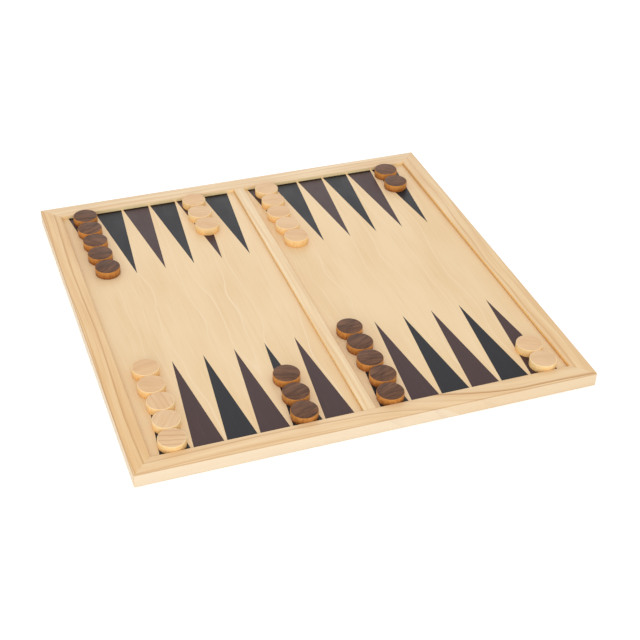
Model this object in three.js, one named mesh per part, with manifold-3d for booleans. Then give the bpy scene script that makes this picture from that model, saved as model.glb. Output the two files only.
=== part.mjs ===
// A flat wooden backgammon board with thirty checkers set out for the start of a game.
// Millimetres, +Z up, +X to the right and -Y towards the player at the front.
// The origin is the bottom centre of the board.

import * as THREE from "three";
import { mergeVertices } from "three/addons/utils/BufferGeometryUtils.js";
import Module from "manifold-3d";

// Overall size of the framed board
const boardWidth = 400;
const boardDepth = 404;

// Frame rails: four lengths of the same grooved section, mitred at the corners
const railWidth = 17.3;
const railHeight = 12.3;
const railEdgeEase = 0.5;
const railCornerRound = 1.5;
const grooveDepth = 6;
const grooveEndGap = 0.4;

// Playing panel, held in the rails' grooves below their upper faces
const panelThickness = 5.3;
const recessDepth = 3.5;

// Centre bar, glued on the panel
const barWidth = 10.4;
const barDrop = 0.2;
const barEdgeEase = 0.4;

// Playing field: twelve points on each side, six on either side of the bar
const pointsPerQuarter = 6;
const barZone = 20.3;
const outerPointMargin = 7.9;

// Checkers
const checkerDiameter = 23.2;
const checkerThickness = 7.5;
const checkerEdgeEase = 0.6;
const checkerClearance = 0.15;

// How far a cutting outline runs past what it cuts
const cutOverrun = 2;

// Smoothness of the rounded edges
const easeSteps = 3;
const checkerSegments = 40;

// The opening position, column by column from the rail inwards. The sideways shares
// shift a checker off its point's centre line and the gap shares leave extra room
// before it, both as shares of the checker's diameter.
const columns = [
  { side: "back", point: 1, colour: "dark",
    sidewaysShares: [0.02, 0.01, 0.03, 0.02, 0.1], gapShares: [0, 0, 0, 0, 0.04] },
  { side: "back", point: 5, colour: "light",
    sidewaysShares: [0.01, -0.01, 0.04], gapShares: [0.09, 0.03, 0] },
  { side: "back", point: 7, colour: "light",
    sidewaysShares: [0.07, 0.05, -0.02, 0.03, 0.08], gapShares: [0.12, 0, 0, 0, 0.01] },
  { side: "back", point: 12, colour: "dark",
    sidewaysShares: [-0.19, -0.16], gapShares: [0.15, 0.09] },
  { side: "front", point: 1, colour: "light",
    sidewaysShares: [-0.05, 0.01, 0.06, -0.02, 0.01], gapShares: [0, 0, 0, 0, 0] },
  { side: "front", point: 5, colour: "dark",
    sidewaysShares: [-0.05, -0.01, 0], gapShares: [0, 0.03, 0.07] },
  { side: "front", point: 7, colour: "dark",
    sidewaysShares: [-0.06, 0.06, -0.04, -0.04, -0.07], gapShares: [0, 0.02, 0, 0.02, 0.01] },
  { side: "front", point: 12, colour: "light",
    sidewaysShares: [0.08, 0.03], gapShares: [0, 0] },
];

// Heights and lengths that follow from the sizes above
const panelTop = railHeight - recessDepth;
const panelBottom = panelTop - panelThickness;
const fieldWidth = boardWidth - 2 * railWidth;
const fieldDepth = boardDepth - 2 * railWidth;
const pointPitch = (fieldWidth / 2 - barZone / 2 - outerPointMargin) / pointsPerQuarter;
const checkerRadius = checkerDiameter / 2;
const rightAngle = Math.PI / 2;

const manifold = await Module();
manifold.setup();

// A closed three.js geometry as a solid that can be cut
function toSolid(geometry) {
  geometry.deleteAttribute("normal");
  geometry.deleteAttribute("uv");
  const merged = mergeVertices(geometry);
  return new manifold.Manifold(new manifold.Mesh({
    numProp: 3,
    vertProperties: new Float32Array(merged.attributes.position.array),
    triVerts: new Uint32Array(merged.index.array),
  }));
}

// A cut solid as a three.js geometry with flat faces
function toGeometry(solid) {
  const mesh = solid.getMesh();
  const merged = new THREE.BufferGeometry();
  merged.setAttribute("position", new THREE.BufferAttribute(mesh.vertProperties, 3));
  merged.setIndex(new THREE.BufferAttribute(mesh.triVerts, 1));
  const flat = merged.toNonIndexed();
  flat.computeVertexNormals();
  return flat;
}

// A closed outline in the XY plane, drawn out along Z between two heights
function plate(outline, bottom, top) {
  const shape = new THREE.Shape(outline.map(([x, y]) => new THREE.Vector2(x, y)));
  const geometry = new THREE.ExtrudeGeometry(
    shape, { depth: top - bottom, bevelEnabled: false });
  return geometry.translate(0, 0, bottom);
}

function wood(colour, roughness) {
  return new THREE.MeshStandardMaterial({ color: colour, roughness, metalness: 0 });
}

const pine = () => wood(0xe9cda0, 0.55);
const veneer = () => wood(0xedd0a2, 0.5);
const darkWood = () => wood(0x6b4a35, 0.55);
const lightWood = () => wood(0xe9c9a2, 0.6);

// Points of an arc about a centre, turning anticlockwise from the start angle
function arc(centreX, centreY, radius, startAngle, sweep) {
  const points = [];
  for (let step = 0; step <= easeSteps; step += 1) {
    const angle = startAngle + (sweep * step) / easeSteps;
    points.push([centreX + radius * Math.cos(angle), centreY + radius * Math.sin(angle)]);
  }
  return points;
}

// Cross-section of a rail, anticlockwise, X inward from the outer face and Y up. All
// four edges are eased and a groove in the inner face takes the panel's edge.
function railSection() {
  const near = railEdgeEase;
  const far = railWidth - railEdgeEase;
  const low = railEdgeEase;
  const high = railHeight - railEdgeEase;
  return [
    ...arc(near, low, railEdgeEase, Math.PI, rightAngle),
    ...arc(far, low, railEdgeEase, -rightAngle, rightAngle),
    [railWidth, panelBottom],
    [railWidth - grooveDepth, panelBottom],
    [railWidth - grooveDepth, panelTop],
    [railWidth, panelTop],
    ...arc(far, high, railEdgeEase, 0, rightAngle),
    ...arc(near, high, railEdgeEase, rightAngle, rightAngle),
  ];
}

// Plan of a rail along X with mitred ends and rounded outer corners, anticlockwise.
// It runs past the section inward and outward, so that only its ends do any cutting.
function railPlan(length) {
  const inner = railWidth + cutOverrun;
  const roundStart = length / 2 - railCornerRound;
  const rightCorner = arc(
    roundStart, railCornerRound, railCornerRound, -rightAngle, rightAngle / 2);
  const leftCorner = rightCorner.map(([x, y]) => [-x, y]).reverse();
  return [
    [-roundStart, -cutOverrun],
    [roundStart, -cutOverrun],
    ...rightCorner,
    [length / 2 - inner, inner],
    [-length / 2 + inner, inner],
    ...leftCorner,
  ];
}

// A rail along X whose outer face lies at Y = -halfSpan, so that turning it about Z
// gives the other sides of the frame.
function mitredRail(length, halfSpan) {
  const stock = plate(railSection(), -length / 2, length / 2);
  stock.rotateX(rightAngle);
  stock.rotateZ(rightAngle);
  const saw = plate(railPlan(length), -cutOverrun, railHeight + cutOverrun);
  const rail = toSolid(stock).intersect(toSolid(saw));
  return toGeometry(rail).translate(0, -halfSpan, 0);
}

// The bar's cross-section has flat sides and eased top edges. It is drawn in X and Z
// and runs from the front rail to the back rail.
function centreBarGeometry() {
  const height = recessDepth - barDrop;
  const half = barWidth / 2;
  const outline = [
    [-half, 0],
    [half, 0],
    ...arc(half - barEdgeEase, height - barEdgeEase, barEdgeEase, 0, rightAngle),
    ...arc(-half + barEdgeEase, height - barEdgeEase, barEdgeEase, rightAngle, rightAngle),
  ];
  return plate(outline, -fieldDepth / 2, fieldDepth / 2).rotateX(rightAngle);
}

// A flat disc with eased edges, its underside at Z = 0
function checkerGeometry() {
  const rim = checkerRadius - checkerEdgeEase;
  const profile = [
    [0, 0],
    [rim, 0],
    [checkerRadius, checkerEdgeEase],
    [checkerRadius, checkerThickness - checkerEdgeEase],
    [rim, checkerThickness],
    [0, checkerThickness],
  ];
  const disc = new THREE.LatheGeometry(
    profile.map(([x, y]) => new THREE.Vector2(x, y)), checkerSegments);
  disc.rotateX(rightAngle);
  return disc;
}

// Distance of a point's centre line from the middle of the board
function pointCentre(point) {
  const fromMiddle = point - pointsPerQuarter - 0.5;
  return fromMiddle * pointPitch + (Math.sign(fromMiddle) * barZone) / 2;
}

const group = new THREE.Group();
group.name = "backgammon_board";

function addPart(name, geometry, material) {
  const mesh = new THREE.Mesh(geometry, material);
  mesh.name = name;
  group.add(mesh);
  return mesh;
}

// Frame
addPart("front_rail", mitredRail(boardWidth, boardDepth / 2), pine());
addPart("right_rail", mitredRail(boardDepth, boardWidth / 2), pine()).rotation.z = rightAngle;
addPart("back_rail", mitredRail(boardWidth, boardDepth / 2), pine()).rotation.z = Math.PI;
addPart("left_rail", mitredRail(boardDepth, boardWidth / 2), pine()).rotation.z = -rightAngle;

// Playing panel, its edges held in the rails' grooves
const tongue = grooveDepth - grooveEndGap;
const panel = addPart(
  "playing_panel",
  new THREE.BoxGeometry(fieldWidth + 2 * tongue, fieldDepth + 2 * tongue, panelThickness),
  veneer());
panel.position.z = panelBottom + panelThickness / 2;

// Centre bar, fixed on the panel
addPart("centre_bar", centreBarGeometry(), pine()).position.z = panelTop;

// Checkers
const numbering = { dark: 0, light: 0 };
for (const column of columns) {
  const inwards = column.side === "front" ? 1 : -1;
  let fromRail = -checkerRadius;
  column.sidewaysShares.forEach((sidewaysShare, place) => {
    const gap = checkerClearance + column.gapShares[place] * checkerDiameter;
    fromRail += checkerDiameter + gap;
    numbering[column.colour] += 1;
    const number = String(numbering[column.colour]).padStart(2, "0");
    const material = column.colour === "dark" ? darkWood() : lightWood();
    const checker = addPart(
      `${column.colour}_checker_${number}`, checkerGeometry(), material);
    checker.position.x = pointCentre(column.point) + sidewaysShare * checkerDiameter;
    checker.position.y = inwards * (fromRail - fieldDepth / 2);
    checker.position.z = panelTop;
  });
}

export default group;
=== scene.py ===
"""Looks for a flat wooden backgammon board with its checkers set out, in metres."""
import math
import random

import bmesh
import bpy
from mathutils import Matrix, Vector


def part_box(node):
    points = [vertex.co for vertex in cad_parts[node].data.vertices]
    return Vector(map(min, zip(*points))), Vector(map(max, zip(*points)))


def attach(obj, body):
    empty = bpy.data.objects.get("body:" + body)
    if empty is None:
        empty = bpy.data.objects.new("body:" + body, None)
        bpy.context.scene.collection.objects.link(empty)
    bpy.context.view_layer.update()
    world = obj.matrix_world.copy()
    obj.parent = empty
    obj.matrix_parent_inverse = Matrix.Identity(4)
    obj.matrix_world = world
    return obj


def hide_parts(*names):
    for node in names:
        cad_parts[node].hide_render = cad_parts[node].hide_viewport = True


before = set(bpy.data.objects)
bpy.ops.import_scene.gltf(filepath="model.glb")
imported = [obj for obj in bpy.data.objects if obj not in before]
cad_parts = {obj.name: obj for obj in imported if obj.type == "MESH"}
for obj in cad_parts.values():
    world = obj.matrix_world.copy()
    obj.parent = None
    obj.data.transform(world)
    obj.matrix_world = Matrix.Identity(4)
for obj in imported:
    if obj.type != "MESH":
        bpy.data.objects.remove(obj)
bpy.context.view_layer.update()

MM = 0.001
WHITE = (1.0, 1.0, 1.0, 1.0)

# Camera, as worked out from the photograph, its turn in degrees and its lens and
# sensor in millimetres
CAMERA_PLACE = (-0.32458, -0.92704, 0.69140)
CAMERA_TURN = (53.835, -1.2025, -19.6369)
CAMERA_LENS = 73.03
CAMERA_SHIFT = 0.00236
SENSOR_WIDTH = 36.0

# Light. The sky is this strong on the object and pure white to the camera. The lamps
# are in metres and watts.
SKY_STRENGTH = 0.83
LAMPS = {
    "front_lamp": {"place": (-1.0, -2.1, 1.0), "size": 1.8, "power": 17.0},
    "back_lamp": {"place": (0.62, 2.2, 1.12), "size": 1.2, "power": 5.0},
}

# Floor. The gap keeps it clear of the rails, and the glow makes it white to the camera.
FLOOR_REACH = 6.0
FLOOR_GAP = 0.2 * MM
FLOOR_DULL = (0.93, 0.93, 0.93, 1.0)
FLOOR_PALE = (0.95, 0.95, 0.95, 1.0)
FLOOR_ROUGHNESS = 0.9
FLOOR_GLOW = 0.32

# Printed points
POINTS_PER_QUARTER = 6
BAR_ZONE = 20.3 * MM
OUTER_POINT_MARGIN = 7.7 * MM
POINT_TIP = 69.4 * MM
POINT_WIDTH = 25.7 * MM
PRINT_MARGIN = 0.2 * MM
PRINT_THICKNESS = 0.04 * MM

# How far each row of points was printed off its true place, at its tips and at its base
BACK_TIP_SHIFT = 0.5 * MM
BACK_BASE_SHIFT = -1.6 * MM
FRONT_TIP_SHIFT = -2.0 * MM
FRONT_BASE_SHIFT = -0.7 * MM

# Printed squares on the underside of the panel
SQUARES = 8
SQUARE_FIELD_SHARE = 0.86
BORDER_GAP = 2.5 * MM
BORDER_WIDTH = 1.0 * MM

# Edge softening of the sawn and sanded pieces. Angles are in degrees.
RAIL_BEVEL = 0.14 * MM
BAR_BEVEL = 0.2 * MM
BEVEL_STEPS = 2
BEVEL_PROFILE = 0.6
WELD_DISTANCE = 0.002 * MM
FLAT_ANGLE = 0.5
SHARP_ANGLE = 31.0
SMOOTH_ANGLE = 35.0

# Turned discs
CHECKER_ROUND = 0.55 * MM
CHECKER_ROUND_STEPS = 5
CHECKER_STEPS = 96

BODY = "board"
RAILS = ("front_rail", "right_rail", "back_rail", "left_rail")


def linear(red, green, blue):
    """A colour given as 0 to 255 display values, as the linear values that shaders take."""
    def one(value):
        share = value / 255
        return share / 12.92 if share <= 0.04045 else ((share + 0.055) / 1.055) ** 2.4
    return (one(red), one(green), one(blue), 1.0)


# Pine. A shade is what a colour is multiplied by where streaks and fibres darken it.
PINE_PALE = linear(241, 211, 167)
PINE_DEEP = linear(231, 194, 146)
PINE_LATE = linear(194, 140, 84)
PINE_SHADE = (0.87, 0.81, 0.72, 1.0)
FACE_PALE = linear(238, 222, 196)
FACE_DEEP = linear(234, 212, 179)
# Painted shade along the rounded outer top edge of the rails
EDGE_SHADE = linear(190, 146, 100)
# Painted shade in the corner at the foot of each rail's inner face, by the panel
RISER_FOOT_SHADE = linear(176, 116, 58)

# Panel veneer
VENEER_PALE = linear(243, 214, 171)
VENEER_DEEP = linear(238, 205, 158)
VENEER_STREAK = linear(248, 224, 188)
VENEER_FLAME = linear(252, 232, 202)
VENEER_SHADE = (0.91, 0.87, 0.8, 1.0)

# Inks, and the near black painted on them close to the back rail as that rail's shadow
BLACK_INK = linear(40, 40, 44)
BROWN_INK = linear(74, 54, 54)
SQUARE_INK = linear(68, 52, 52)
INK_SHADOW = linear(4, 3, 3)

# Woods of the checkers. late is the colour of the ring lines. The turned edge goes from
# side to low at its foot: low is painted shade where the discs stack, and also the
# colour of the edge's fibres and dark flecks. rim is a painted line round the face, a
# highlight on the light checkers and a darker line on the dark ones. spacing is from
# ring to ring, and patch is how often the face colour changes along and across the
# grain, per metre. The shares say how far rings, streaks and fibres show. Each disc is
# multiplied by a colour between lightest and darkest.
CHECKER_WOODS = {
    "dark": {
        "pale": linear(124, 84, 57), "deep": linear(80, 49, 30), "late": linear(36, 20, 14),
        "side": linear(212, 146, 72), "low": linear(138, 76, 30), "rim": linear(112, 70, 42),
        "shade": (0.44, 0.37, 0.32, 1.0), "spacing": 3.4 * MM, "patch": (60, 340),
        "ring_share": 0.6, "streak_share": 0.9, "fibre_share": 0.9,
        "lightest": (1.08, 1.06, 1.02, 1.0), "darkest": (0.8, 0.76, 0.74, 1.0)},
    "light": {
        "pale": linear(237, 200, 156), "deep": linear(227, 186, 141),
        "late": linear(196, 146, 100), "side": linear(254, 222, 164),
        "low": linear(240, 190, 116), "rim": linear(255, 234, 192),
        "shade": (0.86, 0.8, 0.74, 1.0), "spacing": 4.6 * MM, "patch": (20, 90),
        "ring_share": 0.75, "streak_share": 0.3, "fibre_share": 0.7,
        "lightest": (1.03, 1.06, 1.1, 1.0), "darkest": (0.98, 0.93, 0.88, 1.0)},
}

# Checkers with a grain of their own: its turn in degrees and the strength of its rings.
# The others draw both at random between the limits below.
OWN_GRAIN = {
    "dark_checker_05": (33.0, 1.0),
    "light_checker_09": (-17.0, 1.0),
    "light_checker_10": (52.0, 0.4),
    "light_checker_11": (-83.0, 0.45),
    "light_checker_12": (-20.0, 0.15),
}
GRAIN_TURNS = (-50.0, 25.0)
GRAIN_STRENGTHS = (0.05, 0.35)
RANDOM_START = 24

# The growth lines of each rail and of the bar, in millimetres. A ring's coordinate is
# the distance in from the outer edge, less a wave along the rail, plus a rise where the
# grain runs out over the edge, plus a tilt for each millimetre down. A wave has a size,
# a length and the place of its crest. The rise has a height and the places where it
# starts and ends. Each line has a place on that coordinate, a width and a strength.
# The tint multiplies the colour: each length's own tone together with painted sheen and
# shade. The riser is the colour painted on the faces above the panel for the light and
# shade they get, and the joint is the strength of the painted shade in the corner at
# their foot.
GRAIN = {
    "front_rail": {
        "waves": [(1.3, 230.0, -95.0)], "rise": (29.0, -10.0, 135.0), "tilt": -0.2,
        "lines": [(2.4, 1.6, 0.35), (11.6, 2.2, 0.5), (30.2, 3.4, 1.0), (22.0, 3.0, 0.25)],
        "tone_and_painted_light": (1.06, 1.05, 1.05, 1.0), "riser_light_and_shade": linear(248, 216, 166), "painted_joint_shade": 0.4},
    "right_rail": {
        "waves": [(0.6, 84.0, 150.0), (0.7, 340.0, -20.0)], "rise": (3.2, -10.0, 90.0),
        "tilt": 0.3,
        "lines": [(5.0, 1.8, 0.25), (13.2, 2.4, 0.45)],
        "tone_and_painted_light": (1.01, 1.0, 0.98, 1.0), "riser_light_and_shade": linear(244, 198, 124), "painted_joint_shade": 0.6},
    "back_rail": {
        "waves": [(0.8, 260.0, 40.0)], "rise": (5.0, -160.0, 160.0), "tilt": 0.4,
        "lines": [(5.0, 2.4, 0.22), (11.0, 2.6, 0.3), (17.5, 2.4, 0.25)],
        "tone_and_painted_light": (1.06, 1.12, 1.26, 1.0), "riser_light_and_shade": linear(255, 231, 178), "painted_joint_shade": 0.0},
    "left_rail": {
        "waves": [(1.1, 212.0, -22.0)], "rise": (0.0, 0.0, 100.0), "tilt": 0.5,
        "lines": [(1.0, 1.6, 0.5), (9.9, 2.3, 0.72), (6.2, 1.4, 0.15)],
        "tone_and_painted_light": (1.02, 0.96, 0.87, 1.0), "riser_light_and_shade": linear(240, 200, 140), "painted_joint_shade": 0.4},
    "centre_bar": {
        "waves": [(0.6, 190.0, 30.0)], "rise": (0.0, 0.0, 100.0), "tilt": 0.4,
        "lines": [(3.0, 1.4, 0.25), (7.6, 1.5, 0.2)],
        "tone_and_painted_light": (1.08, 1.14, 1.22, 1.0), "riser_light_and_shade": linear(250, 208, 136), "painted_joint_shade": 0.45},
}

# A growth line's sharp start about its place and where it begins to fade, both in
# millimetres, and the least and the most of it that a streak leaves
LINE_RISE = (-0.35, 0.05)
LINE_FADE_START = 0.1
LINE_KEPT_SHARES = (0.7, 1.0)

# The slow drift of the growth lines: its size and length in millimetres, its repeats
# for each millimetre across, detail and roughness
RING_DRIFT = 1.5
RING_DRIFT_LENGTH = 38.0
RING_DRIFT_REPEAT = 0.09
RING_DRIFT_DETAIL = 2.0
RING_DRIFT_ROUGHNESS = 0.5

# Pine figures: the length and width of their patches in millimetres, detail, roughness
PINE_FIGURES = {
    "tone": (110.0, 5.0, 2.0, 0.5),
    "streak": (60.0, 1.3, 3.0, 0.6),
    "fibre": (9.0, 0.32, 3.0, 0.65),
}

# Other figures: repeats per metre along each axis, detail, roughness
FIGURES = {
    "veneer_tone": ((7, 24, 1), 2.0, 0.5),
    "veneer_streak": ((14, 330, 1), 3.0, 0.6),
    "veneer_fibre": ((90, 2600, 1), 3.0, 0.65),
    "veneer_drift": ((9, 22, 1), 1.0, 0.4),
    "ink_fibre": ((1400, 40, 1400), 2.0, 0.6),
    "ink_cloud": ((60, 25, 60), 3.0, 0.6),
    "disc_drift": ((1 / (30 * MM), 18, 18), 2.0, 0.55),
    "disc_ring": ((3, 60, 60), 2.0, 0.5),
    "disc_streak": ((9, 420, 420), 3.0, 0.6),
    "disc_fibre": ((60, 1 / (1.1 * MM), 1 / (1.1 * MM)), 3.0, 0.65),
    "disc_blotch": ((380, 380, 150), 3.0, 0.65),
    "disc_fleck": ((700, 700, 420), 3.0, 0.7),
    "floor_patch": ((3, 3, 3), 2.0, 0.5),
}

# The figure that changes the colour of a disc's face repeats as its wood's patch says
DISC_TONE_DETAIL = 3.0
DISC_TONE_ROUGHNESS = 0.6

# A band is the stretch of a figure's values over which a colour comes in, and a share
# is how far it comes in
TONE_BAND = (0.32, 0.7)
DISC_TONE_BAND = (0.3, 0.72)
STREAK_BAND = (0.45, 0.8)
FIBRE_BAND = (0.5, 0.85)
LINE_STREAK_BAND = (0.1, 0.8)
PINE_STREAK_SHARE = 0.55
PINE_FIBRE_SHARE = 0.3

# The outer face of a rail and the painted shade along its rounded top edge: millimetres
# across from that face and down from the top. The face changes shade at a place along
# the rail, which moves by the slant for each millimetre down.
FACE_ACROSS = (0.05, 0.5)
FACE_SHARE = 0.75
EDGE_SHADE_ACROSS = (0.4, 1.0)
EDGE_SHADE_SHARE = 0.5
EDGE_DOWN = (0.4, 0.9)
FACE_CHANGE_ALONG = (54.0, 56.0)
FACE_CHANGE_SLANT = -1.6

# The inner face of a rail, painted in its own light and shade, and the painted shade in
# the corner at its foot: millimetres out from that face, down from the top and up from
# the panel
RISER_OUT = (1.8, 0.7)
RISER_DOWN = (0.1, 0.6)
RISER_SHARE = 0.85
RISER_FOOT_SHADE_UP = (1.7, 0.7)

# The veneer's grain is turned, in degrees, to run from front to back
VENEER_TURN = (0.0, 0.0, -90.0)

# Pale flame lines of the veneer, in rings about a centre left of the middle. The
# squeeze along the grain draws them out into long ovals. Shifts, drift and spacing are
# in millimetres, and the peak says where in a ring its line starts, crests and ends.
FLAME_SHIFT_ACROSS = 70.0
FLAME_SHIFT_ALONG = -7.0
FLAME_SQUEEZE = 0.11
FLAME_DRIFT = 34.0
FLAME_SPACING = 12.0
FLAME_PEAK = (0.42, 0.5, 0.54)
FLAME_YEAR_BAND = (0.2, 0.9)
FLAME_TONE_BAND = (0.3, 0.62)
FLAME_FAINT_SHARE = 0.25
FLAME_SHARE = 0.6

# The veneer's dark and pale streaks and fibres, and how far the left rail's painted shade
# reaches
VENEER_DARK_BAND = (0.5, 0.8)
VENEER_DARK_SHARE = 0.6
VENEER_PALE_BAND = (0.45, 0.2)
VENEER_PALE_SHARE = 0.45
VENEER_FIBRE_SHARE = 0.3
VENEER_LEFT_SHADE_REACH = (2.0 * MM, 20.0 * MM)
VENEER_LEFT_SHADE_SHARE = 0.4

# How ink is lifted where it is worn, how it varies, and how far from the back rail
# the painted shadow of that rail reaches
INK_LIFT = 1.5
INK_LIFT_FLOOR = 0.004
INK_FIBRE_BAND = (0.45, 0.8)
INK_FIBRE_SHARE = 0.35
INK_CLOUD_BAND = (0.4, 0.8)
INK_CLOUD_SHARE = 0.25
INK_SHADOW_REACH = (4.4 * MM, 2.6 * MM)
INK_SHINE_BAND = (0.3, 0.7)
INK_ROUGHNESS = (0.36, 0.46)
INK_GLOSS = 0.2
INK_RELIEF = 0.01 * MM

# A disc's place in its trunk: how far its seed moves it and from where, in metres, and
# its tilt in degrees. The seed times the last value gives it a second random number.
SEED_REACH = (0.9, 0.05, -0.03)
SEED_START = (0.0, 0.028, 0.02)
TRUNK_TILT = (0.0, 4.0, 0.0)
SEED_TONE_STEP = 13.7

# A trunk's bends and its growth rings. The peak says where in a ring the late wood
# starts, crests and ends, and each year is of its own strength.
NOISE_MIDDLE = (0.5, 0.5, 0.5)
TRUNK_WARP = (3.5 * MM, 3.5 * MM, 3.5 * MM)
RING_WANDER = 1.1
RING_PEAK = (0.5, 0.9, 1.0)
RING_YEAR_REACH = 0.75
RING_YEAR_LEAST = 0.25

# A disc's turned edge and the painted line round its face, a highlight on the light
# discs and darker on the dark ones: the shares of its radius where they start and end,
# how high the painted shade at the foot reaches, and how the edge varies
TURNED_SHARES = (0.962, 0.985)
PAINTED_RIM_START_SHARES = (0.95, 0.965)
PAINTED_RIM_END_SHARES = (0.975, 0.995)
PAINTED_RIM_SHARE = 0.6
BLOTCH_HEIGHT = 6.0 * MM
FOOT_SHADE_HEIGHTS = (2.6 * MM, 9.8 * MM)
TURNED_FIBRE_BAND = (0.45, 0.75)
TURNED_FIBRE_SHARE = 0.24
DARK_FLECK_BAND = (0.48, 0.68)
DARK_FLECK_SHARE = 0.5
PALE_FLECK_BAND = (0.46, 0.3)
PALE_FLECK_SHARE = 0.45

# Satin wax on the bare woods: the middle of its roughness and the depth of the fibres
# in it, and what is the same for all
PINE_WAX = (0.42, 0.03 * MM)
VENEER_WAX = (0.4, 0.015 * MM)
DISC_WAX = (0.45, 0.02 * MM)
WAX_BAND = (0.2, 0.8)
WAX_SPREAD = 0.12
WAX_GLOSS = 0.25


class Graph:
    """A material's node tree, with short calls to add and join its nodes."""

    # Colour sockets of the Mix node, which share their names with its other sockets
    MIX_FIRST = 6
    MIX_SECOND = 7
    MIX_RESULT = 2

    def __init__(self, name):
        self.material = bpy.data.materials.new(name)
        self.material.use_nodes = True
        self.tree = self.material.node_tree
        self.shader = self.tree.nodes["Principled BSDF"]

    def put(self, socket, value):
        """Links an input to another node's output, or sets it to a plain value."""
        if isinstance(value, bpy.types.NodeSocket):
            self.tree.links.new(value, socket)
        else:
            socket.default_value = value

    def add(self, kind, inputs=None, **settings):
        node = self.tree.nodes.new(kind)
        for key, value in settings.items():
            setattr(node, key, value)
        for key, value in (inputs or {}).items():
            self.put(node.inputs[key], value)
        return node

    def math(self, operation, *values, clamp=False):
        node = self.add("ShaderNodeMath", operation=operation, use_clamp=clamp)
        for socket, value in zip(node.inputs, values):
            self.put(socket, value)
        return node.outputs[0]

    def vector(self, operation, *values):
        node = self.add("ShaderNodeVectorMath", operation=operation)
        for socket, value in zip(node.inputs, values):
            self.put(socket, value)
        return node.outputs[0]

    def distance(self, first, second):
        """How far a point is from the origin of two coordinates."""
        squares = [self.math("MULTIPLY", value, value) for value in (first, second)]
        return self.math("SQRT", self.math("ADD", *squares))

    def join(self, x, y, z):
        return self.add("ShaderNodeCombineXYZ", {0: x, 1: y, 2: z}).outputs[0]

    def split(self, vector):
        return tuple(self.add("ShaderNodeSeparateXYZ", {0: vector}).outputs)

    def place(self):
        return self.add("ShaderNodeTexCoord").outputs["Object"]

    def own_value(self, name):
        """A number that each object carries for itself."""
        node = self.add("ShaderNodeAttribute", attribute_type="OBJECT", attribute_name=name)
        return node.outputs["Fac"]

    def turned(self, vector, degrees):
        rotation = tuple(math.radians(angle) for angle in degrees)
        return self.add("ShaderNodeMapping", {"Vector": vector, "Rotation": rotation}).outputs[0]

    def noise(self, vector, detail, roughness, output="Fac"):
        node = self.add("ShaderNodeTexNoise", {
            "Vector": vector, "Scale": 1.0, "Detail": detail, "Roughness": roughness})
        return node.outputs[output]

    def scaled_noise(self, vector, scale, detail, roughness, output="Fac"):
        scaled = self.add("ShaderNodeMapping", {"Vector": vector, "Scale": scale})
        return self.noise(scaled.outputs[0], detail, roughness, output)

    def figure(self, vector, name, output="Fac"):
        """The noise that FIGURES describes under this name."""
        return self.scaled_noise(vector, *FIGURES[name], output=output)

    def step(self, value, low, high, start=0.0, end=1.0):
        """A smooth step from start to end while the value goes from low to high."""
        node = self.add("ShaderNodeMapRange", interpolation_type="SMOOTHSTEP")
        for socket, number in zip(node.inputs, (value, low, high, start, end)):
            self.put(socket, number)
        return node.outputs[0]

    def peak(self, value, start, crest, end):
        """A smooth rise from start to crest and a fall to end."""
        rise = self.step(value, start, crest)
        return self.math("MULTIPLY", rise, self.step(value, crest, end, 1.0, 0.0))

    def years(self, turn):
        """The place within a growth ring, and a number that each ring has of its own."""
        year = self.add("ShaderNodeTexWhiteNoise", noise_dimensions="1D")
        self.put(year.inputs["W"], self.math("FLOOR", turn))
        return self.math("FRACT", turn), year.outputs["Value"]

    def mix(self, factor, first, second, blend="MIX"):
        node = self.add("ShaderNodeMix", data_type="RGBA", blend_type=blend)
        self.put(node.inputs["Factor"], factor)
        self.put(node.inputs[self.MIX_FIRST], first)
        self.put(node.inputs[self.MIX_SECOND], second)
        return node.outputs[self.MIX_RESULT]

    def times(self, first, second):
        return self.mix(1.0, first, second, "MULTIPLY")

    def bump(self, height, distance):
        node = self.add("ShaderNodeBump", {"Height": height, "Distance": distance})
        self.put(self.shader.inputs["Normal"], node.outputs[0])


def waxed(g, colour, fibres, roughness, relief):
    """A thin satin wax that lets the fibres show."""
    low = roughness - WAX_SPREAD / 2
    high = roughness + WAX_SPREAD / 2
    g.put(g.shader.inputs["Base Color"], colour)
    g.put(g.shader.inputs["Roughness"], g.step(fibres, *WAX_BAND, low, high))
    g.shader.inputs["Specular IOR Level"].default_value = WAX_GLOSS
    g.bump(fibres, relief)
    return g.material


def rail_place(g, node):
    """Millimetres along a rail, in from its outer edge and down from its top."""
    low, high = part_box(node)
    x, y, z = g.split(g.place())
    across, edge, sign = {
        "front_rail": (y, low.y, 1), "back_rail": (y, high.y, -1),
        "left_rail": (x, low.x, 1), "right_rail": (x, high.x, -1),
        "centre_bar": (x, low.x, 1)}[node]
    along = x if across is y else y
    along = g.math("MULTIPLY", along, 1 / MM)
    across = g.math("MULTIPLY_ADD", across, sign / MM, -sign * edge / MM)
    down = g.math("MULTIPLY_ADD", z, -1 / MM, high.z / MM)
    return along, across, down


def ring_place(g, grain, along, across, down):
    """The ring coordinate that GRAIN describes, with a slow drift."""
    height, first, last = grain["rise"]
    ring = g.math("ADD", across, g.step(along, first, last, 0.0, height))
    ring = g.math("MULTIPLY_ADD", down, grain["tilt"], ring)
    for size, length, crest in grain["waves"]:
        turn = g.math("MULTIPLY_ADD", along, math.tau / length, -crest * math.tau / length)
        ring = g.math("MULTIPLY_ADD", g.math("COSINE", turn), -size, ring)
    drift = g.noise(
        g.join(g.math("MULTIPLY", along, 1 / RING_DRIFT_LENGTH),
               g.math("MULTIPLY", across, RING_DRIFT_REPEAT), 0.0),
        RING_DRIFT_DETAIL, RING_DRIFT_ROUGHNESS)
    return g.math("MULTIPLY_ADD", drift, RING_DRIFT, g.math("SUBTRACT", ring, RING_DRIFT / 2))


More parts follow.
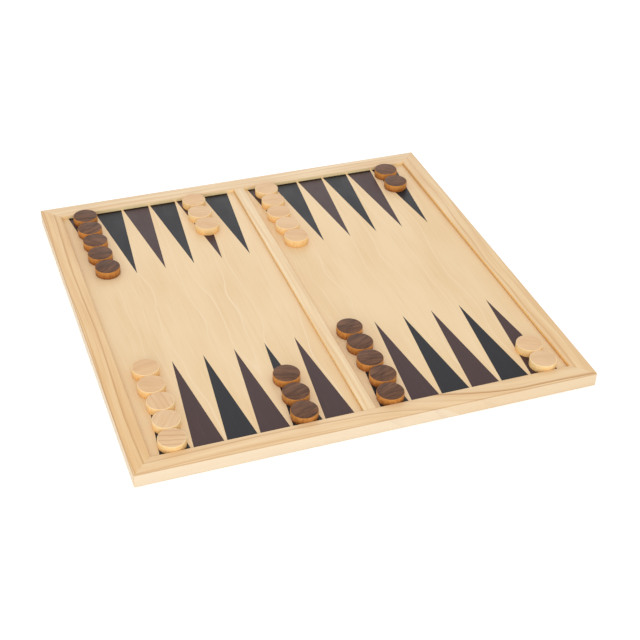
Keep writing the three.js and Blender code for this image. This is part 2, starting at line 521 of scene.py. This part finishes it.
def late_lines(g, grain, ring):
    """Where the dark late wood shows: each line starts sharply and fades inwards."""
    late = 0.0
    for place, width, strength in grain["lines"]:
        rise = g.step(ring, place + LINE_RISE[0], place + LINE_RISE[1])
        fade = g.step(ring, place + LINE_FADE_START, place + width, strength, 0.0)
        late = g.math("MAXIMUM", late, g.math("MULTIPLY", rise, fade))
    return late


def outer_face(g, colour, along, across, down):
    """A rail's paler outer face, in two shades, with a fine line of painted shade on its rounded
    top edge.
    """
    change = g.math("MULTIPLY_ADD", down, FACE_CHANGE_SLANT, along)
    face = g.mix(g.step(change, *FACE_CHANGE_ALONG), FACE_PALE, FACE_DEEP)
    shown = g.math("MULTIPLY", g.step(across, *FACE_ACROSS, 1.0, 0.0),
                   g.step(down, *EDGE_DOWN, 0.0, FACE_SHARE))
    colour = g.mix(shown, colour, face)
    # Painted shade along the rounded top edge
    line = g.math("MULTIPLY", g.step(across, *EDGE_SHADE_ACROSS, 1.0, 0.0),
                  g.step(down, *EDGE_DOWN, EDGE_SHADE_SHARE, 0.0))
    return g.mix(line, colour, EDGE_SHADE)


def inner_face(g, colour, grain, shown, down, depth):
    """The inner face above the panel, in its own painted light and shade, with painted shade in
    the corner where it meets the panel.
    """
    # Painted light and shade: each rail's inner face gets its own colour for the light it gets
    riser_light_and_shade = g.math("MULTIPLY", g.step(down, *RISER_DOWN, 0.0, RISER_SHARE), shown)
    colour = g.mix(riser_light_and_shade, colour, grain["riser_light_and_shade"])
    # Painted shade in the corner at the foot of the inner face, where it meets the panel
    start, end = RISER_FOOT_SHADE_UP
    line = g.step(down, depth - start, depth - end, 0.0, grain["painted_joint_shade"])
    return g.mix(g.math("MULTIPLY", line, shown), colour, RISER_FOOT_SHADE)


def pine(name, node):
    """Lacquered pine for one length, with its own wandering growth lines."""
    g = Graph(name)
    grain = GRAIN[node]
    along, across, down = rail_place(g, node)
    ring = ring_place(g, grain, along, across, down)

    def pine_figure(figure):
        length, width, detail, roughness = PINE_FIGURES[figure]
        return g.noise(
            g.join(g.math("MULTIPLY", along, 1 / length), g.math("MULTIPLY", ring, 1 / width),
                   g.math("MULTIPLY", down, 1 / width)), detail, roughness)

    streak = pine_figure("streak")
    fibres = pine_figure("fibre")
    colour = g.mix(g.step(pine_figure("tone"), *TONE_BAND), PINE_PALE, PINE_DEEP)
    dark = g.times(colour, PINE_SHADE)
    colour = g.mix(g.step(streak, *STREAK_BAND, 0.0, PINE_STREAK_SHARE), colour, dark)
    # Each length's own tone together with painted sheen and shade: paler and bluer at the back
    # and on the bar, darker and more orange on the left
    colour = g.times(colour, grain["tone_and_painted_light"])
    kept = g.step(streak, *LINE_STREAK_BAND, *LINE_KEPT_SHARES)
    colour = g.mix(g.math("MULTIPLY", late_lines(g, grain, ring), kept), colour, PINE_LATE)
    colour = g.mix(g.step(fibres, *FIBRE_BAND, 0.0, PINE_FIBRE_SHARE), colour, dark)
    low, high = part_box(node)
    inside = 1.0
    if node in RAILS:
        colour = outer_face(g, colour, along, across, down)
        width = min(high.x - low.x, high.y - low.y) / MM
        start, end = RISER_OUT
        inside = g.step(across, width - start, width - end)
    depth = (high.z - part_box("playing_panel")[1].z) / MM
    colour = inner_face(g, colour, grain, inside, down, depth)
    return waxed(g, colour, fibres, *PINE_WAX)


def flame_lines(g, x, y, drift, tone):
    """Fine pale lines in long ovals, each year's of its own strength."""
    across = g.math("MULTIPLY_ADD", x, 1 / MM, FLAME_SHIFT_ACROSS)
    along = g.math("MULTIPLY_ADD", y, FLAME_SQUEEZE / MM, FLAME_SHIFT_ALONG)
    ring = g.math("MULTIPLY_ADD", drift, FLAME_DRIFT, g.distance(across, along))
    part, year = g.years(g.math("DIVIDE", ring, FLAME_SPACING))
    line = g.peak(part, *FLAME_PEAK)
    line = g.math("MULTIPLY", line, g.step(year, *FLAME_YEAR_BAND))
    return g.math("MULTIPLY", line, g.step(tone, *FLAME_TONE_BAND, FLAME_FAINT_SHARE, 1.0))


def veneer():
    """Pale panel veneer, its grain from front to back, with a few fine pale flame lines and
    painted shade along the left rail.
    """
    g = Graph("panel_veneer")
    place = g.place()
    x, y = g.split(place)[:2]
    vector = g.turned(place, VENEER_TURN)
    tone = g.figure(vector, "veneer_tone")
    streak = g.figure(vector, "veneer_streak")
    fibres = g.figure(vector, "veneer_fibre")
    line = flame_lines(g, x, y, g.figure(vector, "veneer_drift"), tone)
    colour = g.mix(g.step(tone, *TONE_BAND), VENEER_PALE, VENEER_DEEP)
    dark = g.times(colour, VENEER_SHADE)
    streaks = g.step(streak, *VENEER_DARK_BAND, 0.0, VENEER_DARK_SHARE)
    colour = g.mix(streaks, colour, dark)
    streaks = g.step(streak, *VENEER_PALE_BAND, 0.0, VENEER_PALE_SHARE)
    colour = g.mix(streaks, colour, VENEER_STREAK)
    colour = g.mix(g.math("MULTIPLY", line, FLAME_SHARE), colour, VENEER_FLAME)
    colour = g.mix(g.step(fibres, *FIBRE_BAND, 0.0, VENEER_FIBRE_SHARE), colour, dark)
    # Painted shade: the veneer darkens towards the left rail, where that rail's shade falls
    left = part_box("left_rail")[1].x
    start, end = VENEER_LEFT_SHADE_REACH
    left_rail_shade = g.step(x, left + start, left + end, VENEER_LEFT_SHADE_SHARE, 0.0)
    colour = g.mix(left_rail_shade, colour, dark)
    return waxed(g, colour, fibres, *VENEER_WAX)


def print_ink(name, colour):
    """Screen-printed ink, a satin film that lets a little of the grain through. Near the back
    rail a painted shadow turns it near black.
    """
    g = Graph(name)
    place = g.place()
    fibres = g.figure(place, "ink_fibre")
    cloud = g.figure(place, "ink_cloud")
    lighter = [min(1.0, value * INK_LIFT + INK_LIFT_FLOOR) for value in colour[:3]]
    worn = g.math("ADD", g.step(fibres, *INK_FIBRE_BAND, 0.0, INK_FIBRE_SHARE),
                  g.step(cloud, *INK_CLOUD_BAND, 0.0, INK_CLOUD_SHARE), clamp=True)
    ink = g.mix(worn, colour, (*lighter, 1.0))
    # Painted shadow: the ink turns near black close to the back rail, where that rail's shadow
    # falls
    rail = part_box("back_rail")[0].y
    start, end = INK_SHADOW_REACH
    painted_joint_shade = g.step(g.split(place)[1], rail - start, rail - end)
    g.put(g.shader.inputs["Base Color"], g.mix(painted_joint_shade, ink, INK_SHADOW))
    g.put(g.shader.inputs["Roughness"], g.step(cloud, *INK_SHINE_BAND, *INK_ROUGHNESS))
    g.shader.inputs["Specular IOR Level"].default_value = INK_GLOSS
    g.bump(fibres, INK_RELIEF)
    return g.material


def trunk(g, vector, spacing):
    """Solid wood whose trunk runs along X: growth rings, soft streaks and fine fibres."""
    drift = g.figure(vector, "disc_drift", "Color")
    drift = g.vector("SUBTRACT", drift, NOISE_MIDDLE)
    bent = g.vector("MULTIPLY_ADD", drift, TRUNK_WARP, vector)
    y, z = g.split(bent)[1:]
    turn = g.math("DIVIDE", g.distance(y, z), spacing)
    turn = g.math("MULTIPLY_ADD", g.figure(bent, "disc_ring"), RING_WANDER, turn)
    part, year = g.years(turn)
    strength = g.math("MULTIPLY_ADD", year, RING_YEAR_REACH, RING_YEAR_LEAST)
    ring = g.math("MULTIPLY", g.peak(part, *RING_PEAK), strength)
    return ring, g.figure(bent, "disc_streak"), g.figure(bent, "disc_fibre")


def sanded_face(g, look, vector, ring, streak, fibres):
    """A disc's face: deep patches and streaks on pale, with late wood in rings."""
    along, across = look["patch"]
    patches = g.scaled_noise(
        vector, (along, across, across), DISC_TONE_DETAIL, DISC_TONE_ROUGHNESS)
    colour = g.mix(g.step(patches, *DISC_TONE_BAND), look["pale"], look["deep"])
    dark = g.times(colour, look["shade"])
    colour = g.mix(g.step(streak, *STREAK_BAND, 0.0, look["streak_share"]), colour, dark)
    colour = g.mix(g.math("MULTIPLY", ring, look["ring_share"]), colour, look["late"])
    return g.mix(g.step(fibres, *FIBRE_BAND, 0.0, look["fibre_share"]), colour, dark)


def turned_edge(g, look, vector, z, fibres):
    """A disc's turned edge: painted shade darkens it towards its foot where the discs stack,
    with blotches, fibres and flecks.
    """
    height = g.math("MULTIPLY_ADD", g.figure(vector, "disc_blotch"), BLOTCH_HEIGHT, z)
    # Painted shade towards the foot, its reach varied by blotches. The same low colour also
    # marks fibres and dark flecks.
    colour = g.mix(g.step(height, *FOOT_SHADE_HEIGHTS, 1.0, 0.0), look["side"], look["low"])
    lines = g.step(fibres, *TURNED_FIBRE_BAND, 0.0, TURNED_FIBRE_SHARE)
    colour = g.mix(lines, colour, look["low"])
    flecks = g.figure(vector, "disc_fleck")
    colour = g.mix(g.step(flecks, *DARK_FLECK_BAND, 0.0, DARK_FLECK_SHARE), colour, look["low"])
    return g.mix(g.step(flecks, *PALE_FLECK_BAND, 0.0, PALE_FLECK_SHARE), colour, look["side"])


def turned_wood(name, look, radius):
    """Wood of a small disc. Each disc has its own place in the trunk, from its own
    grain_seed, and shows its rings by its own ring_strength. Its turned edge is a
    different shade from its sanded face."""
    g = Graph(name)
    place = g.place()
    x, y, z = g.split(place)
    seed = g.own_value("grain_seed")
    offset = g.join(*(
        g.math("MULTIPLY_ADD", seed, reach, start)
        for reach, start in zip(SEED_REACH, SEED_START)))
    vector = g.vector("ADD", g.turned(place, TRUNK_TILT), offset)
    ring, streak, fibres = trunk(g, vector, look["spacing"])
    ring = g.math("MULTIPLY", ring, g.own_value("ring_strength"))
    depth = g.math("FRACT", g.math("MULTIPLY", seed, SEED_TONE_STEP))
    tone = g.mix(depth, look["lightest"], look["darkest"])
    face = g.times(sanded_face(g, look, vector, ring, streak, fibres), tone)
    side = g.times(turned_edge(g, look, vector, z, fibres), tone)
    across = g.math("DIVIDE", g.distance(x, y), radius)
    colour = g.mix(g.step(across, *TURNED_SHARES), face, side)
    # Painted highlight round the face of the light discs, a painted darker line round the dark
    # ones
    rim = g.math("MULTIPLY", g.step(across, *PAINTED_RIM_START_SHARES),
                 g.step(across, *PAINTED_RIM_END_SHARES, PAINTED_RIM_SHARE, 0.0))
    colour = g.mix(rim, colour, look["rim"])
    return waxed(g, colour, fibres, *DISC_WAX)


def add_object(name, data):
    thing = bpy.data.objects.new(name, data)
    bpy.context.scene.collection.objects.link(thing)
    return thing


def finished_mesh(form, name, material):
    """The mesh of a bmesh that is no longer needed, with its material."""
    mesh = bpy.data.meshes.new(name)
    form.to_mesh(mesh)
    form.free()
    mesh.materials.append(material)
    return mesh


def smooth_by_angle(mesh):
    mesh.shade_smooth()
    mesh.set_sharp_from_angle(angle=math.radians(SMOOTH_ANGLE))


def softened(node, name, bevel, material):
    """A copy of a CAD node with its sharp edges eased, which stands for that node."""
    form = bmesh.new()
    form.from_mesh(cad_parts[node].data)
    bmesh.ops.remove_doubles(form, verts=form.verts, dist=WELD_DISTANCE)
    bmesh.ops.dissolve_limit(
        form, angle_limit=math.radians(FLAT_ANGLE), verts=form.verts, edges=form.edges)
    sharp = [edge for edge in form.edges if edge.is_manifold
             and edge.calc_face_angle(0.0) > math.radians(SHARP_ANGLE)]
    bmesh.ops.bevel(
        form, geom=sharp, offset=bevel, segments=BEVEL_STEPS, profile=BEVEL_PROFILE,
        affect="EDGES", clamp_overlap=True)
    bmesh.ops.recalc_face_normals(form, faces=form.faces)
    mesh = finished_mesh(form, name, material)
    smooth_by_angle(mesh)
    piece = add_object(name, mesh)
    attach(piece, BODY)
    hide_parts(node)


def flat_prints(name, outlines, low, high, material):
    """Thin flat films of ink on the panel, one closed plate for each outline."""
    form = bmesh.new()
    for outline in outlines:
        bottom = [form.verts.new((x, y, low)) for x, y in outline]
        top = [form.verts.new((x, y, high)) for x, y in outline]
        form.faces.new(list(reversed(bottom)))
        form.faces.new(top)
        for place in range(len(outline)):
            after = (place + 1) % len(outline)
            form.faces.new((bottom[place], bottom[after], top[after], top[place]))
    bmesh.ops.recalc_face_normals(form, faces=form.faces)
    piece = add_object(name, finished_mesh(form, name, material))
    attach(piece, BODY)


def printed_points(field_low, field_high, top):
    """Twenty-four long triangles, black and brown in turn, the other way round in front."""
    half_field = (field_high.x - field_low.x) / 2
    pitch = (half_field - BAR_ZONE / 2 - OUTER_POINT_MARGIN) / POINTS_PER_QUARTER
    half = POINT_WIDTH / 2
    back = field_high.y - PRINT_MARGIN
    front = field_low.y + PRINT_MARGIN
    black = []
    brown = []
    for place in range(2 * POINTS_PER_QUARTER):
        offset = place + 0.5 - POINTS_PER_QUARTER
        middle = offset * pitch + math.copysign(BAR_ZONE / 2, offset)
        base = middle + BACK_BASE_SHIFT
        tip = middle + BACK_TIP_SHIFT
        far = [(base - half, back), (tip, POINT_TIP), (base + half, back)]
        base = middle + FRONT_BASE_SHIFT
        tip = middle + FRONT_TIP_SHIFT
        near = [(base - half, front), (base + half, front), (tip, -POINT_TIP)]
        even = place % 2 == 0
        (brown if even else black).append(far)
        (black if even else brown).append(near)
    high = top + PRINT_THICKNESS
    flat_prints("black_points", black, top, high, print_ink("black_print", BLACK_INK))
    flat_prints("brown_points", brown, top, high, print_ink("brown_print", BROWN_INK))


def printed_squares(width, bottom):
    """The draughts field on the underside: dark squares and a fine border line."""
    side = width * SQUARE_FIELD_SHARE / SQUARES
    start = -side * SQUARES / 2
    dark = []
    for row in range(SQUARES):
        for column in range(row % 2, SQUARES, 2):
            left = start + column * side
            near = start + row * side
            dark.append([(left, near), (left + side, near),
                         (left + side, near + side), (left, near + side)])
    inner = -start + BORDER_GAP
    outer = inner + BORDER_WIDTH
    strip = [(-inner, inner), (inner, inner), (outer, outer), (-outer, outer)]
    dark += [
        strip,
        [(-y, x) for x, y in strip],
        [(-x, -y) for x, y in strip],
        [(y, -x) for x, y in strip]]
    ink = print_ink("square_print", SQUARE_INK)
    flat_prints("reverse_squares", dark, bottom - PRINT_THICKNESS, bottom, ink)


def disc_mesh(name, radius, thickness, material):
    """A turned disc with rounded rims, its underside at Z = 0 and its axis on Z."""
    ease = CHECKER_ROUND
    profile = []
    for step in range(CHECKER_ROUND_STEPS + 1):
        angle = math.pi / 2 * step / CHECKER_ROUND_STEPS
        profile.append((radius - ease + ease * math.sin(angle), ease - ease * math.cos(angle)))
    profile += [(reach, thickness - height) for reach, height in reversed(profile)]
    turns = [math.tau * step / CHECKER_STEPS for step in range(CHECKER_STEPS)]
    form = bmesh.new()
    rings = [
        [form.verts.new((reach * math.cos(turn), reach * math.sin(turn), height))
         for turn in turns]
        for reach, height in profile]
    form.faces.new(list(reversed(rings[0])))
    form.faces.new(rings[-1])
    for lower, upper in zip(rings, rings[1:]):
        for place in range(CHECKER_STEPS):
            after = (place + 1) % CHECKER_STEPS
            form.faces.new((lower[place], lower[after], upper[after], upper[place]))
    mesh = finished_mesh(form, name, material)
    smooth_by_angle(mesh)
    return mesh


def checkers():
    """One rounded disc in the place of each checker, each with its own grain."""
    low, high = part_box("dark_checker_01")
    radius = (high.x - low.x) / 2
    meshes = {}
    for shade, look in CHECKER_WOODS.items():
        wood = turned_wood(shade + "_checker_wood", look, radius)
        meshes[shade] = disc_mesh(shade + "_disc", radius, high.z - low.z, wood)
    chance = random.Random(RANDOM_START)
    for node in sorted(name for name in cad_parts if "_checker_" in name):
        low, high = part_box(node)
        shade = node.split("_")[0]
        piece = add_object(node.replace("_checker_", "_disc_"), meshes[shade])
        piece.location = ((low.x + high.x) / 2, (low.y + high.y) / 2, low.z)
        turn = chance.uniform(*GRAIN_TURNS)
        strength = chance.uniform(*GRAIN_STRENGTHS)
        turn, strength = OWN_GRAIN.get(node, (turn, strength))
        piece.rotation_euler.z = math.radians(turn)
        piece["ring_strength"] = strength
        piece["grain_seed"] = chance.uniform(0.0, 1.0)
        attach(piece, node)
        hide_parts(node)


def board():
    """The frame, the centre bar, the panel and what is printed on it."""
    for node in RAILS:
        side = node.replace("_rail", "")
        softened(node, side + "_frame", RAIL_BEVEL, pine(side + "_pine", node))
    softened("centre_bar", "bar", BAR_BEVEL, pine("bar_pine", "centre_bar"))
    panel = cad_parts["playing_panel"]
    panel.data.materials.clear()
    panel.data.materials.append(veneer())
    front_low, front_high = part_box("front_rail")
    field_low = Vector((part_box("left_rail")[1].x, front_high.y, 0.0))
    field_high = Vector((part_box("right_rail")[0].x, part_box("back_rail")[0].y, 0.0))
    bottom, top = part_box("playing_panel")
    printed_points(field_low, field_high, top.z)
    printed_squares(front_high.x - front_low.x, bottom.z)


def floor_material():
    """Matt white, with a glow that only the camera, gloss and glass can see."""
    g = Graph("floor_white")
    patches = g.figure(g.place(), "floor_patch")
    g.put(g.shader.inputs["Base Color"], g.mix(patches, FLOOR_DULL, FLOOR_PALE))
    g.shader.inputs["Roughness"].default_value = FLOOR_ROUGHNESS
    g.shader.inputs["Specular IOR Level"].default_value = 0.0
    rays = g.add("ShaderNodeLightPath").outputs
    seen = g.math("MAXIMUM", rays["Is Camera Ray"], rays["Is Glossy Ray"])
    seen = g.math("MAXIMUM", seen, rays["Is Transmission Ray"])
    glow = g.add("ShaderNodeEmission", {"Color": WHITE, "Strength": FLOOR_GLOW})
    lit = g.add("ShaderNodeMixShader", {0: seen, 2: glow.outputs[0]})
    both = g.add("ShaderNodeAddShader", {0: g.shader.outputs[0], 1: lit.outputs[0]})
    g.put(g.tree.nodes["Material Output"].inputs["Surface"], both.outputs[0])
    return g.material


def floor():
    """A plain pale floor that shows white to the camera and keeps the shadow."""
    form = bmesh.new()
    form.faces.new([
        form.verts.new((x * FLOOR_REACH, y * FLOOR_REACH, -FLOOR_GAP))
        for x, y in ((-1, -1), (1, -1), (1, 1), (-1, 1))])
    add_object("floor", finished_mesh(form, "floor", floor_material()))


def sky():
    """An even sky that lights the object and shows pure white to the camera."""
    world = bpy.data.worlds.new("sky")
    bpy.context.scene.world = world
    world.use_nodes = True
    nodes = world.node_tree.nodes
    links = world.node_tree.links
    rays = nodes.new("ShaderNodeLightPath")
    seen = nodes.new("ShaderNodeMath")
    seen.operation = "MAXIMUM"
    links.new(rays.outputs["Is Camera Ray"], seen.inputs[0])
    links.new(rays.outputs["Is Transmission Ray"], seen.inputs[1])
    strength = nodes.new("ShaderNodeMapRange")
    strength.inputs["To Min"].default_value = SKY_STRENGTH
    strength.inputs["To Max"].default_value = 1.0
    links.new(seen.outputs[0], strength.inputs["Value"])
    back = nodes["Background"]
    back.inputs["Color"].default_value = WHITE
    links.new(strength.outputs[0], back.inputs["Strength"])


def lamps():
    """Two large soft lamps that look at the middle of the board."""
    for name, lamp in LAMPS.items():
        disk = bpy.data.lights.new(name, "AREA")
        disk.shape = "DISK"
        disk.size = lamp["size"]
        disk.energy = lamp["power"]
        stand = add_object(name, disk)
        stand.location = lamp["place"]
        stand.rotation_euler = (-Vector(lamp["place"])).to_track_quat("-Z", "Y").to_euler()


def camera():
    """The camera of the photograph, as near as it could be worked out."""
    lens = bpy.data.cameras.new("camera")
    lens.lens = CAMERA_LENS
    lens.sensor_width = SENSOR_WIDTH
    lens.shift_x = CAMERA_SHIFT
    seat = add_object("camera", lens)
    seat.location = CAMERA_PLACE
    seat.rotation_euler = tuple(math.radians(angle) for angle in CAMERA_TURN)
    bpy.context.scene.camera = seat


board()
checkers()
floor()
sky()
lamps()
camera()
bpy.context.scene.view_settings.view_transform = "Standard"
